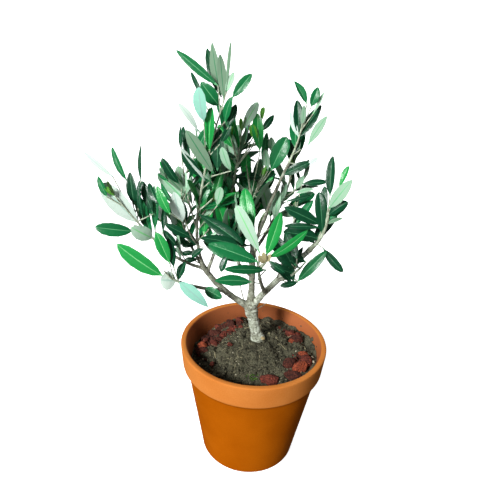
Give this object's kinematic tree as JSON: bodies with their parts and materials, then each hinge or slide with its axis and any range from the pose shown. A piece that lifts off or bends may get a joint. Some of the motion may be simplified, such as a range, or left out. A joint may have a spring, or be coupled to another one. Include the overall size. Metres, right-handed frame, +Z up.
{
  "type": "potted olive bonsai",
  "caption": "Young olive grown as a small bonsai, with a short leaning trunk, an open head of narrow grey-green leaves and a tapered terracotta pot of dark soil.",
  "frame": {"origin": "centre of the pot's flat underside, on the surface that it stands on", "axes": "+Z up along the pot's axis, -Y towards the viewer of the picture, +X to that viewer's right"},
  "size_m": [0.2279, 0.1898, 0.391],
  "materials": {
    "terracotta": "matte fired clay",
    "soil": "rough fibrous potting soil",
    "lava": "rough porous red lava",
    "bark": "pale mottled bark",
    "foliage": "leathery satin leaf"
  },
  "bodies": {
    "root": {"pot": "terracotta", "soil": "soil", "lava_chip_1": "lava", "lava_chip_2": "lava", "lava_chip_3": "lava", "lava_chip_4": "lava", "lava_chip_5": "lava", "lava_chip_6": "lava", "lava_chip_7": "lava", "lava_chip_8": "lava", "lava_chip_9": "lava", "lava_chip_10": "lava", "lava_chip_11": "lava", "lava_chip_12": "lava", "lava_chip_13": "lava", "lava_chip_14": "lava", "lava_chip_15": "lava", "lava_chip_16": "lava", "lava_chip_17": "lava", "trunk": "bark", "centre_bough": "bark", "left_bough": "bark", "right_bough": "bark", "low_left_bough": "bark", "far_left_bough": "bark", "left_back_bough": "bark", "top_bough": "bark", "centre_top_bough": "bark", "upper_left_bough": "bark", "left_front_bough": "bark", "low_centre_bough": "bark", "right_top_bough": "bark", "front_bough": "bark", "right_inner_bough": "bark", "right_low_bough": "bark", "back_left_bough": "bark", "back_right_bough": "bark", "back_bough": "bark", "back_top_bough": "bark", "top_foliage": "foliage", "low_left_foliage": "foliage", "far_left_foliage": "foliage", "left_back_foliage": "foliage", "upper_left_foliage": "foliage", "left_front_foliage": "foliage", "front_foliage": "foliage", "low_centre_foliage": "foliage", "centre_foliage": "foliage", "centre_top_foliage": "foliage", "right_top_foliage": "foliage", "right_inner_foliage": "foliage", "right_foliage": "foliage", "right_low_foliage": "foliage", "back_left_foliage": "foliage", "back_right_foliage": "foliage", "back_foliage": "foliage", "back_top_foliage": "foliage"}
  },
  "joints": []
}
